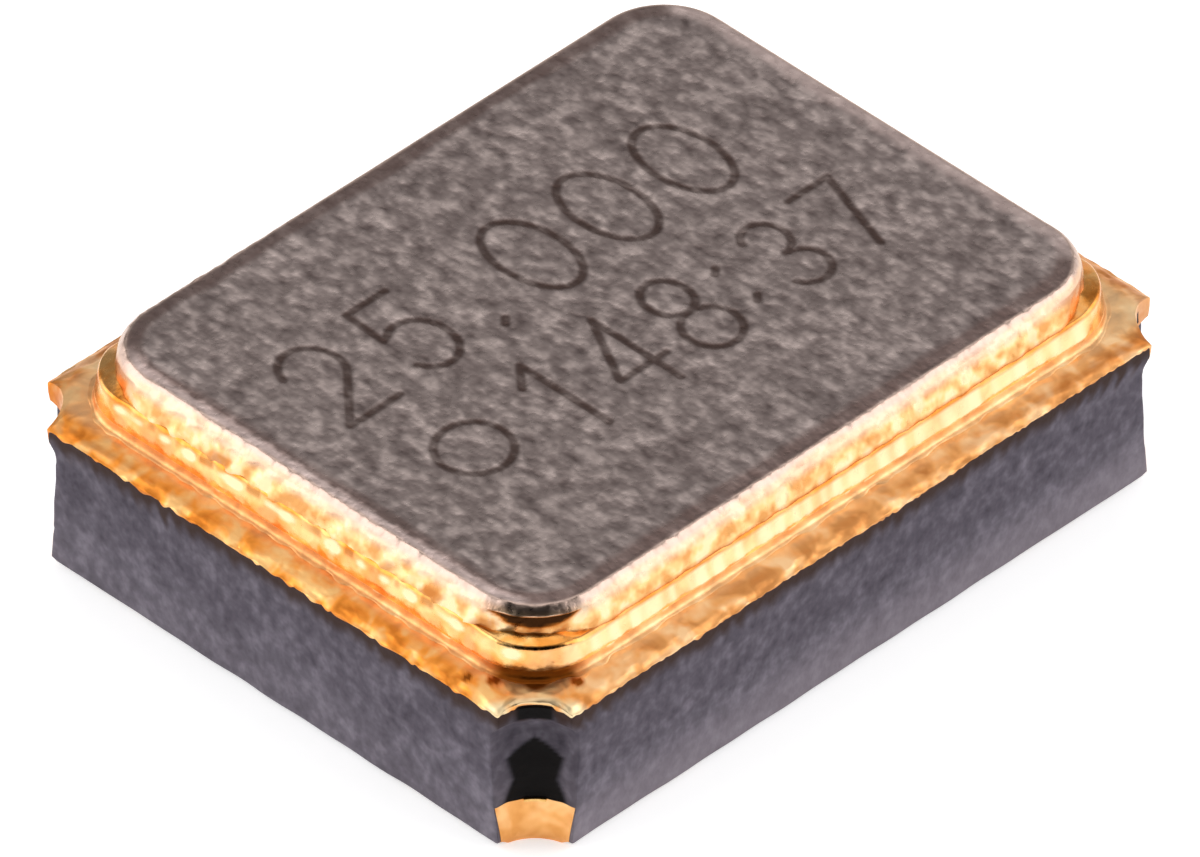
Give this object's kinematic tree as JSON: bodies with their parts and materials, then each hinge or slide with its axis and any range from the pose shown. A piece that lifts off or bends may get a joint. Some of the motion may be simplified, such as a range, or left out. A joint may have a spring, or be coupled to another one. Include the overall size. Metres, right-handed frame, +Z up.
{
  "type": "crystal oscillator",
  "caption": "Surface-mount quartz oscillator: a flat black ceramic body with gold-lined corner notches, a gold seal ring and a bevelled grey metal lid, made to be soldered to a circuit board.",
  "frame": {"origin": "middle of the mounting face, at the level of the terminals' undersides", "axes": "+X along the length, away from the marked first terminal; +Y across the width; +Z up through the lid"},
  "size_m": [0.0024, 0.002, 0.0007],
  "materials": {
    "black_alumina": "matte, fine-grained",
    "gold_plating": "gold plated, soft gloss",
    "nickel_plating": "nickel plated, rolled grain",
    "tungsten": "sintered metal",
    "silicon": "polished, opaque",
    "resin": "cast resin",
    "silver_adhesive": "silver-filled resin",
    "quartz": "lapped, clear",
    "gold_film": "thin gold film"
  },
  "bodies": {
    "root": {"ceramic_base": "black_alumina", "seal_land": "gold_plating", "braze_joint": "gold_plating", "seam_ring": "gold_plating", "lid": "nickel_plating", "terminal_1": "gold_plating", "terminal_2": "gold_plating", "terminal_3": "gold_plating", "terminal_4": "gold_plating", "printed_traces": "gold_plating", "crystal_vias": "tungsten", "ground_via": "tungsten", "chip": "silicon", "chip_bumps": "gold_plating", "underfill": "resin", "mount_pad_front": "gold_plating", "mount_pad_back": "gold_plating", "adhesive_front": "silver_adhesive", "adhesive_back": "silver_adhesive", "quartz_blank": "quartz", "electrode_top": "gold_film", "electrode_bottom": "gold_film"}
  },
  "joints": []
}
